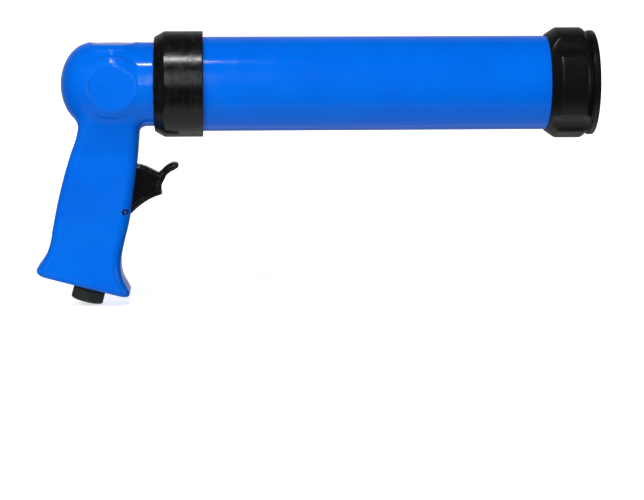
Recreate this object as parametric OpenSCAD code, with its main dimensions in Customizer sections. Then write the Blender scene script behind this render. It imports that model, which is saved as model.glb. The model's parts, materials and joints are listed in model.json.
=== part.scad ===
// Air-powered caulking gun with a closed barrel, for 310 ml cartridges and foil packs.
// X runs forward along the barrel, Z is up and Y is across. The origin is the centre of
// the nozzle opening, on the front face of the cap. All sizes are in millimetres.
// Screw threads are drawn as plain cylinders with a small clearance.

/* [Barrel] */
// Outside diameter of the barrel tube
barrel_od = 56; // [54:0.5:68]
// Wall thickness of the barrel tube
barrel_wall = 2; // [1.5:0.1:2.6]
// Length of the barrel tube
barrel_length = 237.5; // [150:0.5:400]

/* [Front cap] */
// Overall length of the front cap
cap_length = 28.7; // [22:0.1:36]
// Thickness of the cap's front wall
cap_front_wall = 6; // [4:0.1:8]
// Height of the four finger lobes above the barrel
cap_lobe_height = 5; // [4:0.1:8]
// Height of the front ring above the barrel
cap_ring_height = 3.2; // [2.5:0.1:3.8]
// Thickness left under the bottom of each finger scoop
cap_scoop_wall = 2; // [1.5:0.1:3]
// Width of each finger scoop at the top of the lobes
cap_scoop_width = 16; // [10:0.5:20]
// Diameter of the nozzle opening
nozzle_opening_d = 28.4; // [20:0.2:34]
// Thickness of the cushion washer in the cap
cushion_thickness = 2; // [1:0.1:4]

/* [Rear collar] */
// Wall of the collar around the barrel
collar_wall = 3.35; // [2.5:0.05:5]
// Length of barrel held in the collar
collar_socket = 13.1; // [9:0.1:20]
// Length of the threaded spigot on the head
spigot_length = 14.1; // [9:0.1:20]
// Step down from the head to its threaded spigot
spigot_step = 1.85; // [1.5:0.05:3]
// Length of the collar's rear chamfer along the barrel
collar_chamfer = 5.9; // [3:0.1:9]
// Thickness of the flat gasket between head and barrel
gasket_thickness = 1.5; // [0.8:0.1:3]

/* [Head] */
// Diameter of the head
head_d = 49.7; // [46:0.1:52]
// Length of the straight part of the head
head_straight = 36.6; // [30:0.1:50]
// Length of the domed end
dome_length = 18.7; // [14:0.1:25]
// Diameter of the air chamber in the head
chamber_d = 34; // [24:0.5:38]
// Depth of the air chamber from the spigot's face
chamber_depth = 41; // [36:0.5:52]
// Diameter of the flat face of each round pad
pad_face_d = 25; // [20:0.5:28]
// Diameter of each pad at its foot
pad_foot_d = 32; // [28:0.5:34]
// Distance from the barrel axis to the flat of each pad
pad_height = 24.3; // [24:0.05:24.8]
// Distance of the pads behind the collar
pad_back = 24.3; // [20:0.1:28]

/* [Grip] */
// Distance from the barrel axis down to the neck
neck_drop = 28.5; // [26:0.1:32]
// Distance of the neck's back behind the collar
neck_back = 45.8; // [43:0.1:48]
// Distance of the neck's front behind the collar
neck_front = 8.3; // [6:0.1:11]
// Lean of the back of the grip
back_lean = 14.3; // [10:0.1:18]
// Lean of the front of the grip, which also sets the tilt of the trigger and its valve
front_lean = 7.6; // [5:0.1:10]
// Lean of the front of the grip below the trigger slot
toe_lean = 13.6; // [9:0.1:16]
// Distance from the barrel axis down to the air inlet
grip_drop = 120.7; // [118:0.1:160]
// Tilt of the underside of the foot
foot_tilt = 14.5; // [10:0.1:18]
// How far the foot flares out behind the line of the back
heel_flare = 3.2; // [1:0.1:6]
// How far the foot flares out ahead of the line of the front
toe_flare = 10.4; // [6:0.1:12]
// Height over which the foot flares out
flare_height = 17; // [12:0.5:24]
// Rounding of the rim of the foot
rim_round = 3; // [1.5:0.1:4]
// Width across the neck
neck_width = 24; // [20:0.2:28]
// Width across the grip at the trigger
grip_width = 25.2; // [22:0.2:30]
// Width across the foot
foot_width = 31; // [26:0.2:36]
// Rounding of the grip's upright corners
grip_corner = 8; // [5:0.2:9.5]

/* [Trigger] */
// Distance of the trigger pin behind the collar
pin_back = 17.8; // [17:0.1:19]
// Distance from the barrel axis down to the trigger pin
pin_drop = 74.9; // [70:0.1:80]
// Diameter of the trigger pin
pin_d = 3.5; // [2.5:0.1:3.6]
// Gap from each end of the trigger pin to the side of the grip
pin_recess = 0.6; // [0.2:0.1:2]
// Width of the trigger
trigger_width = 11; // [8:0.2:13]
// Reach of the trigger's hook ahead of its pin
trigger_reach = 27.6; // [25:0.1:30]
// Depth of the trigger slot behind the pin
slot_back = 7.5; // [6.5:0.1:8]
// Length of the trigger slot above the pin
slot_above = 35.4; // [34:0.1:38]
// Length of the trigger slot below the pin
slot_below = 7.4; // [6:0.1:10]
// Side clearance of the trigger in its slot
slot_clearance = 0.4; // [0.2:0.05:0.8]

/* [Valve] */
// Height of the valve stem above the trigger pin
stem_lever = 17; // [16:0.1:18]
// Diameter of the valve stem
stem_d = 4; // [3:0.1:4.4]
// Diameter of the valve bushing
bushing_d = 12; // [11.6:0.1:14]
// Length of the valve bushing
bushing_length = 10; // [9.4:0.1:11]
// Diameter of the valve's spring chamber
spring_chamber_d = 11; // [10:0.1:11.2]
// Depth of the valve's spring chamber
spring_chamber_depth = 12.2; // [11:0.1:13]
// Diameter of the poppet
poppet_d = 9.2; // [8.4:0.1:9.6]
// Thickness of the poppet
poppet_thickness = 1.8; // [1.4:0.1:2.2]
// Thickness of the poppet's rubber face
poppet_seal_thickness = 1.2; // [0.8:0.1:1.6]
// Wire diameter of the valve spring
spring_wire = 0.6; // [0.4:0.05:0.8]
// Number of turns of the valve spring
spring_turns = 5; // [3:1:6]
// Diameter of the drilled air passages
passage_d = 4.8; // [3.5:0.1:5]

/* [Air inlet] */
// Distance of the air inlet behind the collar
inlet_back = 39.4; // [36:0.1:43]
// Outside diameter of the inlet bushing's thread
inlet_thread_d = 16.66; // [15:0.02:18]
// Diameter of the socket for the hose fitting, a quarter-inch pipe thread
inlet_socket_d = 11.44; // [9:0.02:13]
// Depth of the socket for the hose fitting
inlet_socket_depth = 11; // [9:0.1:13]
// Size of the inlet bushing's hexagon across its flats
inlet_hex = 19; // [17:0.5:22]
// Height of the inlet bushing's hexagon
inlet_hex_height = 7; // [5:0.1:9]
// Length of the inlet bushing's thread in the grip
inlet_thread_length = 11.5; // [9:0.1:14]
// Thickness of the seal washer under the hexagon
inlet_washer = 1.6; // [1:0.1:2.4]
// Outside diameter of the inlet screen's cup
screen_d = 12.4; // [11:0.1:12.6]
// Length of the inlet screen's cup
screen_length = 9; // [6:0.1:10]

/* [Piston] */
// Thickness of the piston body
piston_thickness = 11.4; // [9:0.1:16]
// Gap between the piston body and the barrel wall
piston_gap = 0.4; // [0.2:0.05:0.8]
// Thickness of the cup seal's base
cup_base = 3; // [2:0.1:4]
// Length of the cup seal's lip
cup_lip = 6.7; // [4:0.1:8]
// Diameter of the piston's clamp washer
clamp_washer_d = 30; // [20:0.5:36]
// Thread diameter of the piston screw
piston_screw_d = 6; // [5:0.5:8]

/* [Fits] */
// Radial clearance of moving fits
running_fit = 0.05; // [0.02:0.01:0.1]
// Radial clearance of the screw threads
thread_fit = 0.08; // [0.02:0.01:0.1]
// Gap between faces that only just touch
face_gap = 0.05; // [0.02:0.01:0.1]

/* [Hidden] */
$fn = 96;
over = 1;

// Places along the barrel, from the cap's front face at 0 towards the back
barrel_r = barrel_od / 2;
bore_r = barrel_r - barrel_wall;
cap_inner_x = -cap_front_wall;
cushion_x = cap_inner_x - face_gap - cushion_thickness;
barrel_front_x = cushion_x - face_gap;
barrel_rear_x = barrel_front_x - barrel_length;
spigot_x = barrel_rear_x - gasket_thickness;
collar_front_x = barrel_rear_x + collar_socket;
collar_x = spigot_x - spigot_length;
head_r = head_d / 2;
spigot_r = head_r - spigot_step;
chamber_r = chamber_d / 2;
dome_x = collar_x - head_straight;

// Places in the grip
toe_break = pin_drop + slot_below;
inlet_x = collar_x - inlet_back;
pin_x = collar_x - pin_back;
foot_back = back_line(grip_drop) - heel_flare;
foot_front = front_line(grip_drop) + toe_flare;
pin_inset = min(grip_corner, (pin_back + front_line(pin_drop)) * cos(front_lean));
pin_half = grip_width / 2 - grip_corner
    + sqrt(pow(grip_corner, 2) - pow(grip_corner - pin_inset, 2)) - pin_recess;

// Places in the valve, along its axis from the trigger pin's line, backwards
trigger_back = -1.5;
clip_thickness = 0.9;
clip_x = -slot_back - 1.6;
bushing_front = clip_x - face_gap;
seat_x = bushing_front - bushing_length;
bushing_r = bushing_d / 2;
guide_length = 4;
port_x = bushing_front - 4.95;
port_r = 1.2;
annulus_width = 3;
annulus_r = bushing_r - 1.3;
seal_section = 1.2;
seal_room = 1.9;
ring_inset = 1.65;
flow_r = 3.3;
poppet_x = seat_x - face_gap - poppet_seal_thickness;
poppet_back = poppet_x - poppet_thickness;
hub_length = 2.2;
hub_r = 1.9;
stud_r = 1.2;
chamber_end = seat_x - spring_chamber_depth;
coil_r = poppet_d / 2 - spring_wire / 2 - 0.7;

// Places in the piston, forwards from the gasket
piston_rest_gap = 0.7;
screw_head_h = 3.5;
screw_head_r = 5;
clamp_washer_t = 1.5;
screw_x = barrel_rear_x + piston_rest_gap;
washer_x = screw_x + screw_head_h;
cup_x = washer_x + clamp_washer_t;
piston_x = cup_x + cup_base;
piston_front_x = piston_x + piston_thickness;
guide_groove = 3;
guide_depth = 2.4;

// Fore-and-aft lines of the bare grip, measured from the collar, at a depth below the axis
function back_line(d) = -neck_back - (d - neck_drop) * tan(back_lean);
function front_line(d) = -neck_front - (min(d, toe_break) - neck_drop) * tan(front_lean)
    - max(d - toe_break, 0) * tan(toe_lean);
// Depth of the foot's underside at a distance from the collar
function foot_depth(x) = grip_drop + (x + inlet_back) * tan(foot_tilt);

// The grip is skinned over stations: back x, back depth, front x, front depth, half width
flare_top_back = foot_depth(foot_back) - flare_height * 0.75;
flare_top_front = foot_depth(foot_front) - flare_height * 1.25;
grip_stations = [
    [back_line(neck_drop) + 1.6, head_r * 0.5, front_line(neck_drop) + 2, head_r * 0.5,
        neck_width / 2],
    [back_line(neck_drop), neck_drop - 1.5, front_line(neck_drop), neck_drop + 1.5,
        neck_width / 2],
    [back_line(pin_drop), pin_drop, front_line(pin_drop), pin_drop, grip_width / 2],
    [back_line(flare_top_back), flare_top_back, front_line(flare_top_front),
        flare_top_front, grip_width / 2 + 0.4],
    [foot_back + heel_flare * 0.75, foot_depth(foot_back) - rim_round - 3,
        foot_front - toe_flare * 0.42, foot_depth(foot_front) - rim_round - 6,
        foot_width / 2 - 1.6],
    [foot_back, foot_depth(foot_back) - rim_round, foot_front,
        foot_depth(foot_front) - rim_round, foot_width / 2],
    [foot_back + rim_round * 0.6, foot_depth(foot_back + rim_round * 0.6),
        foot_front - rim_round, foot_depth(foot_front - rim_round),
        foot_width / 2 - rim_round * 0.5]];

// A profile of [radius, distance along X] points, turned about the barrel axis
module turned(profile) {
    rotate([0, 90, 0])
        rotate_extrude()
            polygon(profile);
}

// A round bar along X from a to b
module bar_x(a, b, r) {
    translate([min(a, b), 0, 0])
        rotate([0, 90, 0])
            cylinder(h = abs(b - a), r = r);
}

// A tube along X from a to b
module tube_x(a, b, r, hole_r) {
    difference() {
        bar_x(a, b, r);
        bar_x(min(a, b) - over, max(a, b) + over, hole_r);
    }
}

// A ring of round section about X
module o_ring_x(x, centre_r, section) {
    translate([x, 0, 0])
        rotate([0, 90, 0])
            rotate_extrude()
                translate([centre_r, 0])
                    circle(d = section, $fn = 32);
}

// A straight drilling in the XZ plane between two [x, z] points
module drilling(a, b, r) {
    translate([a[0], 0, a[1]])
        rotate([0, atan2(b[0] - a[0], b[1] - a[1]), 0])
            cylinder(h = norm(b - a), r = r);
}

// The trigger's frame: its origin is on the pin, its Z runs up the front of the grip
module at_pin() {
    translate([pin_x, 0, -pin_drop])
        rotate([0, front_lean, 0])
            children();
}

// The valve's frame: X runs forward along the valve stem
module at_valve() {
    at_pin()
        translate([0, 0, stem_lever])
            children();
}

// The inlet's frame: Z runs up into the grip, square to the underside of the foot
module at_inlet() {
    translate([inlet_x, 0, -grip_drop])
        rotate([0, foot_tilt, 0])
            children();
}

// A point of the trigger's frame and of the inlet's frame, as [x, z] of the part
function from_pin(x, z) = [
    pin_x + x * cos(front_lean) + z * sin(front_lean),
    -pin_drop - x * sin(front_lean) + z * cos(front_lean)];
function from_inlet(x, z) = [
    inlet_x + x * cos(foot_tilt) + z * sin(foot_tilt),
    -grip_drop - x * sin(foot_tilt) + z * cos(foot_tilt)];

// Points of an arc in the plane, from angle a to angle b
function arc(centre, r, a, b, steps) = [
    for (i = [0:steps])
        centre + r * [cos(a + (b - a) * i / steps), sin(a + (b - a) * i / steps)]];

// Outline of a grip station: a rectangle with round corners
function rounded(length, half_width, r) = concat(
    arc([length / 2 - r, half_width - r], r, 0, 90, 7),
    arc([r - length / 2, half_width - r], r, 90, 180, 7),
    arc([r - length / 2, r - half_width], r, 180, 270, 7),
    arc([length / 2 - r, r - half_width], r, 270, 360, 7));

// A thin plate at one grip station, tilted so that it joins the back and front points
module station(s) {
    length = norm([s[2] - s[0], s[3] - s[1]]);
    translate([collar_x + (s[0] + s[2]) / 2, 0, -(s[1] + s[3]) / 2])
        rotate([0, atan2(s[3] - s[1], s[2] - s[0]), 0])
            linear_extrude(height = 0.02, center = true)
                polygon(rounded(length, s[4], min(grip_corner, s[4] - 1)));
}

module grip_solid() {
    for (i = [0:len(grip_stations) - 2])
        hull() {
            station(grip_stations[i]);
            station(grip_stations[i + 1]);
        }
}

// Domed head with its threaded spigot
module head_solid() {
    dome = [for (a = [0:7.5:90]) [head_r * sin(a), dome_x - dome_length * cos(a)]];
    turned(concat(dome, [
        [head_r, collar_x],
        [spigot_r, collar_x],
        [spigot_r, spigot_x],
        [0, spigot_x]]));
}

// One round pad boss, standing along Z on the head
module pad_boss() {
    pad_root = 14;
    slope = (pad_foot_d - pad_face_d) / 2;
    translate([collar_x - pad_back, 0, 0]) {
        translate([0, 0, pad_root])
            cylinder(h = pad_height - slope - pad_root, d = pad_foot_d);
        translate([0, 0, pad_height - slope])
            cylinder(h = slope, d1 = pad_foot_d, d2 = pad_face_d);
    }
}

// The tool that faces each pad flat
module pad_facing() {
    translate([collar_x - pad_back, 0, pad_height])
        cylinder(h = 10, d = pad_face_d);
}

// Cast head and grip in one piece, with its air passages
module handle_body() {
    pad_angles = [-90, 0, 90];
    passage_r = passage_d / 2;
    chamber_drill = 6;
    screen_chamber = inlet_thread_length + 13;
    color("royalblue")
        difference() {
            union() {
                head_solid();
                grip_solid();
                for (a = pad_angles)
                    rotate([a, 0, 0])
                        pad_boss();
            }
            for (a = pad_angles)
                rotate([a, 0, 0])
                    pad_facing();
            bar_x(spigot_x - chamber_depth, spigot_x + over, chamber_r);
            turned([
                [0, spigot_x - chamber_depth - chamber_drill],
                [chamber_r * 0.45, spigot_x - chamber_depth - chamber_drill],
                [chamber_r, spigot_x - chamber_depth],
                [0, spigot_x - chamber_depth]]);
            at_pin()
                translate([-slot_back, -trigger_width / 2 - slot_clearance, -slot_below])
                    cube([slot_back * 3, trigger_width + 2 * slot_clearance,
                        slot_above + slot_below]);
            at_pin()
                rotate([90, 0, 0])
                    cylinder(h = 2 * grip_width, d = pin_d + 0.02, center = true);
            at_valve() {
                bar_x(seat_x, -slot_back + over, bushing_r);
                bar_x(clip_x, clip_x + clip_thickness + 0.1, bushing_r + 0.8);
                bar_x(chamber_end, seat_x + over, spring_chamber_d / 2);
            }
            drilling(from_inlet(-3.2, screen_chamber - 1),
                from_pin(seat_x - spring_chamber_depth * 0.6, stem_lever - 2), passage_r);
            drilling(from_pin(port_x, stem_lever + 3),
                [collar_x - 23, -chamber_r * 0.7], passage_r);
            at_inlet() {
                translate([0, 0, -20])
                    cylinder(h = 20 + inlet_thread_length + 1.5,
                        r = inlet_thread_d / 2 + 0.02);
                cylinder(h = screen_chamber, d = screen_d + 0.8);
            }
        }
}

// Threaded collar that joins the head to the barrel
module rear_collar() {
    outer_r = barrel_r + collar_wall;
    chamfer_drop = collar_wall + 0.05;
    edge = 0.5;
    color("black")
        turned([
            [spigot_r + thread_fit, collar_x],
            [outer_r - chamfer_drop, collar_x],
            [outer_r, collar_x + collar_chamfer],
            [outer_r, collar_front_x - edge],
            [outer_r - edge, collar_front_x],
            [barrel_r + thread_fit, collar_front_x],
            [barrel_r + thread_fit, spigot_x],
            [spigot_r + thread_fit, spigot_x]]);
}

// Flat gasket that seals the head and the barrel's rear end together
module barrel_gasket() {
    color("dimgray")
        tube_x(spigot_x, barrel_rear_x, barrel_r - 0.05, chamber_r);
}

module barrel_tube() {
    edge = 0.4;
    color("dodgerblue")
        turned([
            [bore_r, barrel_rear_x],
            [barrel_r - edge, barrel_rear_x],
            [barrel_r, barrel_rear_x + edge],
            [barrel_r, barrel_front_x - edge],
            [barrel_r - edge, barrel_front_x],
            [bore_r + edge, barrel_front_x],
            [bore_r, barrel_front_x - edge]]);
}

// Screw cap with four finger lobes, a front ring and the nozzle opening
module front_cap() {
    lobe_r = barrel_r + cap_lobe_height;
    ring_r = barrel_r + cap_ring_height;
    inner_r = barrel_r + thread_fit;
    floor_r = barrel_r + cap_scoop_wall;
    rear_lip = 0.9;
    rear_slope = 6;
    ring_length = 3.3;
    notch = 0.9;
    edge = 0.7;
    front_slope = 3.6;
    scoop_depth = lobe_r - floor_r;
    scoop_r = (pow(cap_scoop_width / 2, 2) + scoop_depth * scoop_depth)
        / (2 * scoop_depth);
    lobe_front = -ring_length - notch - front_slope;
    color("black")
        difference() {
            turned([
                [inner_r, -cap_length],
                [inner_r + rear_lip, -cap_length],
                [lobe_r, rear_slope - cap_length],
                [lobe_r, lobe_front],
                [floor_r, -ring_length - notch],
                [floor_r, -ring_length],
                [ring_r, -ring_length],
                [ring_r, -edge],
                [ring_r - edge, 0],
                [nozzle_opening_d / 2, 0],
                [nozzle_opening_d / 2, cap_inner_x],
                [inner_r, cap_inner_x]]);
            for (a = [45:90:315])
                rotate([a, 0, 0])
                    translate([0, 0, floor_r + scoop_r])
                        bar_x(-cap_length - over, -ring_length - 0.01, scoop_r);
        }
}

// Cushion washer between the barrel's end and the cap
module cushion_washer() {
    rim_gap = 0.5;
    color("dimgray")
        tube_x(cushion_x, cushion_x + cushion_thickness, barrel_r + thread_fit - rim_gap,
            nozzle_opening_d / 2 + 1.8);
}

// Piston that pushes the pack, with a groove for its guide ring and a dished face
module piston_body() {
    r = bore_r - piston_gap;
    mid = (piston_x + piston_front_x) / 2;
    dish_r = r * 0.6;
    edge = 1;
    color("whitesmoke")
        difference() {
            turned([
                [0, piston_x],
                [r - edge, piston_x],
                [r, piston_x + edge],
                [r, mid - guide_groove / 2],
                [r - guide_depth, mid - guide_groove / 2],
                [r - guide_depth, mid + guide_groove / 2],
                [r, mid + guide_groove / 2],
                [r, piston_front_x - edge],
                [r - edge, piston_front_x],
                [dish_r + 1.5, piston_front_x],
                [dish_r, piston_front_x - 1.5],
                [0, piston_front_x - 1.5]]);
            bar_x(piston_x - over, piston_front_x - 3, piston_screw_d / 2);
        }
}

// Rubber cup seal: its lip points back, so that the air presses it to the wall
module piston_cup_seal() {
    lip_r = bore_r - running_fit;
    body_r = bore_r - piston_gap;
    lip_thickness = 1.6;
    lip_end = piston_x - cup_lip;
    color("dimgray")
        turned([
            [piston_screw_d / 2 + 0.1, piston_x],
            [body_r, piston_x],
            [body_r, cup_x + 0.6],
            [lip_r, lip_end + 1],
            [lip_r - 0.4, lip_end],
            [lip_r - lip_thickness, lip_end],
            [body_r - cup_base - 0.6, cup_x],
            [piston_screw_d / 2 + 0.1, cup_x]]);
}

module piston_guide_ring() {
    mid = (piston_x + piston_front_x) / 2;
    side_gap = 0.1;
    color("linen")
        tube_x(mid - guide_groove / 2 + side_gap, mid + guide_groove / 2 - side_gap,
            bore_r - running_fit, bore_r - piston_gap - guide_depth + 0.1);
}

module piston_clamp_washer() {
    color("silver")
        tube_x(washer_x, cup_x, clamp_washer_d / 2, piston_screw_d / 2 + 0.2);
}

// Round-headed screw with a hexagon socket, through washer and seal into the piston
module piston_screw() {
    socket = 2;
    shank_end = piston_front_x - 3.6;
    color("silver")
        difference() {
            turned([
                [0, screw_x],
                [screw_head_r * 0.55, screw_x],
                [screw_head_r * 0.88, screw_x + 0.9],
                [screw_head_r, screw_x + 2.2],
                [screw_head_r, washer_x],
                [piston_screw_d / 2, washer_x],
                [piston_screw_d / 2, shank_end - 0.6],
                [piston_screw_d / 2 - 0.6, shank_end],
                [0, shank_end]]);
            translate([screw_x - over, 0, 0])
                rotate([0, 90, 0])
                    cylinder(h = socket + over, d = 4.6, $fn = 6);
        }
}

// Side outline of the trigger in the pin's frame, as [forward, up] points
function trigger_outline() =
    let (
        boss_r = pin_d / 2 + 1.6,
        top = 27.8,
        tip = [trigger_reach - 1.6, 30.3],
        root = [16.4, 24.5],
        finger = [28.4, 16.6])
    concat(
        arc([0, 0], boss_r, 205, 290, 6),
        [[3.4, -1.6], [6.9, 2.7], [10, 5.9], [13.3, 8.5], [16.4, 10.2], [19.4, 11.9]],
        arc(finger, 8.9, 206, 128, 9),
        arc(tip, 1.6, -60, 100, 8),
        [[22.4, 30.2], [19.2, 27.6], root, [6.6, 28.3], [3.2, top], [trigger_back, top]],
        [[trigger_back, boss_r + 1]]);

module trigger() {
    color("black")
        at_pin()
            difference() {
                rotate([90, 0, 0])
                    linear_extrude(height = trigger_width, center = true)
                        polygon(trigger_outline());
                rotate([90, 0, 0])
                    cylinder(h = 2 * trigger_width, r = pin_d / 2 + running_fit,
                        center = true);
            }
}

module trigger_pin() {
    color("dimgray")
        at_pin()
            rotate([90, 0, 0])
                cylinder(h = 2 * pin_half, d = pin_d, center = true);
}

// Brass bushing: stem guide, seal groove, flow bore with four ports, and valve seat
module valve_bushing() {
    r = bushing_r - 0.05;
    groove_r = bushing_r - seal_section - 0.04;
    flow_front = port_x + port_r + 0.1;
    color("goldenrod")
        at_valve()
            difference() {
                bar_x(seat_x, bushing_front, r);
                bar_x(seat_x - over, bushing_front + over, stem_d / 2 + running_fit);
                bar_x(seat_x - over, flow_front, flow_r);
                bar_x(bushing_front - ring_inset - 0.8, bushing_front - ring_inset + 0.8,
                    stem_d / 2 + running_fit + seal_section + 0.05);
                tube_x(port_x - annulus_width / 2, port_x + annulus_width / 2,
                    bushing_r + over, annulus_r);
                for (x = [bushing_front - ring_inset, seat_x + ring_inset])
                    tube_x(x - seal_room / 2, x + seal_room / 2, bushing_r + over, groove_r);
                for (a = [0:90:270])
                    rotate([a, 0, 0])
                        translate([port_x, 0, 0])
                            cylinder(h = bushing_r + over, r = port_r);
            }
}

// Two O-rings on the outside of the bushing
module bushing_o_rings() {
    color("dimgray")
        at_valve()
            for (x = [bushing_front - ring_inset, seat_x + ring_inset])
                o_ring_x(x, bushing_r - seal_section / 2 - 0.02, seal_section);
}

// Snap ring that holds the bushing in the grip, with a gap and two plier holes
module bushing_retaining_ring() {
    color("silver")
        at_valve()
            difference() {
                tube_x(clip_x, clip_x + clip_thickness, bushing_r + 0.7, bushing_r - 1.5);
                translate([clip_x - over, -0.9, -bushing_r * 1.5])
                    cube([clip_thickness + 2 * over, 1.8, bushing_r * 1.5]);
                for (side = [-1, 1])
                    translate([0, side * 1.9, -bushing_r + 0.45])
                        bar_x(clip_x - over, clip_x + clip_thickness + over, 0.5);
            }
}

module stem_o_ring() {
    color("dimgray")
        at_valve()
            o_ring_x(bushing_front - ring_inset,
                stem_d / 2 + running_fit + seal_section / 2, seal_section);
}

// Push stem: round nose against the trigger, stud into the poppet
module valve_stem() {
    r = stem_d / 2;
    nose_x = trigger_back - 0.03;
    nose = [for (a = [0:15:90]) [r * sin(a), nose_x - r * 0.5 * (1 - cos(a))]];
    color("silver")
        at_valve()
            turned(concat(nose, [
                [r, poppet_x],
                [stud_r, poppet_x],
                [stud_r, poppet_back + 0.3],
                [0, poppet_back + 0.3]]));
}

// Brass poppet with a hub that centres the spring
module valve_poppet() {
    color("goldenrod")
        at_valve()
            difference() {
                union() {
                    bar_x(poppet_back, poppet_x, poppet_d / 2);
                    bar_x(poppet_back - hub_length, poppet_back, hub_r);
                }
                bar_x(poppet_back + 0.2, poppet_x + over, stud_r + 0.02);
            }
}

module poppet_seal() {
    color("dimgray")
        at_valve()
            tube_x(poppet_x, poppet_x + poppet_seal_thickness, poppet_d / 2, stem_d / 2 + 0.02);
}

// A ring of points round the spring's wire at turn t of the coil
function coil_ring(t, pitch, sides) =
    let (a = 360 * t, x = poppet_back - face_gap - spring_wire / 2 - pitch * t)
    [for (i = [0:sides - 1])
        let (b = 360 * i / sides, rr = coil_r + spring_wire / 2 * cos(b))
        [x + spring_wire / 2 * sin(b), rr * cos(a), rr * sin(a)]];

// Compression spring between the poppet and the end of its chamber
module valve_spring() {
    sides = 8;
    per_turn = 16;
    rings = spring_turns * per_turn;
    span = poppet_back - chamber_end - 2 * face_gap - spring_wire;
    pitch = span / spring_turns;
    points = [for (i = [0:rings]) each coil_ring(i / per_turn, pitch, sides)];
    walls = [for (i = [0:rings - 1], j = [0:sides - 1])
        [i * sides + j, i * sides + (j + 1) % sides,
            (i + 1) * sides + (j + 1) % sides, (i + 1) * sides + j]];
    near_end = [for (j = [0:sides - 1]) sides - 1 - j];
    far_end = [for (j = [0:sides - 1]) rings * sides + j];
    color("silver")
        at_valve()
            polyhedron(points = points, faces = concat(walls, [near_end, far_end]));
}

// Hexagon bushing that takes the hose fitting
module air_inlet_bushing() {
    top = inlet_thread_length;
    under = -inlet_washer - inlet_hex_height;
    corner_r = inlet_hex / sqrt(3);
    chamfer = corner_r - inlet_hex / 2;
    color("dimgray")
        at_inlet()
            difference() {
                union() {
                    intersection() {
                        translate([0, 0, under])
                            cylinder(h = inlet_hex_height, r = corner_r, $fn = 6);
                        rotate_extrude()
                            polygon([
                                [0, under],
                                [inlet_hex / 2 - 0.4, under],
                                [corner_r + 0.2, under + chamfer * 1.1],
                                [corner_r + 0.2, -inlet_washer],
                                [0, -inlet_washer]]);
                    }
                    translate([0, 0, -inlet_washer - 0.01])
                        cylinder(h = top + inlet_washer + 0.01, d = inlet_thread_d);
                }
                translate([0, 0, under - over])
                    cylinder(h = inlet_socket_depth + over, d = inlet_socket_d);
                cylinder(h = top + over, r = inlet_socket_d / 2 - 1.7);
                translate([0, 0, under + inlet_socket_depth - 0.01])
                    cylinder(h = top, r = inlet_socket_d / 2 - 1.7);
            }
}

module inlet_seal_washer() {
    rim = 0.9;
    color("black")
        at_inlet()
            translate([0, 0, -inlet_washer + 0.02])
                difference() {
                    cylinder(h = inlet_washer - 0.04, r = inlet_thread_d / 2 + rim);
                    translate([0, 0, -over])
                        cylinder(h = inlet_washer + 2 * over, r = inlet_thread_d / 2 + 0.05);
                }
}

// Perforated cup that keeps dirt out of the valve
module inlet_screen() {
    wall = 0.5;
    flange = 1.3;
    flange_z = inlet_thread_length + face_gap;
    hole_r = 0.7;
    rows = 3;
    per_row = 8;
    r = screen_d / 2;
    color("silver")
        at_inlet()
            translate([0, 0, flange_z])
                difference() {
                    union() {
                        cylinder(h = flange, r = inlet_thread_d / 2 - 0.15);
                        cylinder(h = flange + screen_length, r = r);
                    }
                    translate([0, 0, -over])
                        cylinder(h = over + flange + screen_length - wall, r = r - wall);
                    for (row = [1:rows], i = [0:per_row - 1])
                        rotate([0, 0, 360 * (i + row / 2) / per_row])
                            translate([0, 0, flange + row * screen_length / (rows + 1)])
                                rotate([0, 90, 0])
                                    cylinder(h = r + over, r = hole_r);
                    for (i = [0:5])
                        rotate([0, 0, 60 * i])
                            translate([r * 0.55, 0, flange + screen_length - wall - over])
                                cylinder(h = wall + 2 * over, r = hole_r);
                }
}

handle_body();
rear_collar();
barrel_gasket();
barrel_tube();
front_cap();
cushion_washer();
piston_body();
piston_cup_seal();
piston_guide_ring();
piston_clamp_washer();
piston_screw();
trigger();
trigger_pin();
valve_bushing();
bushing_o_rings();
bushing_retaining_ring();
stem_o_ring();
valve_stem();
valve_poppet();
poppet_seal();
valve_spring();
air_inlet_bushing();
inlet_seal_washer();
inlet_screen();
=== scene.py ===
"""Looks of an air-powered caulking gun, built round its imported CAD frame.

Run as a script. The frame, the settings, the materials and the stage are in metres. The
shapes are worked out in millimetres, and become metres when their mesh is made. Places
come from the frame, so a piece lies where the CAD part lies. Shapes are surfaces worked
out as whole numpy arrays: turned profiles on a grid, and, for the casting and the trigger,
the zero surface of a blended distance field.
"""
import json
import math

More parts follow.
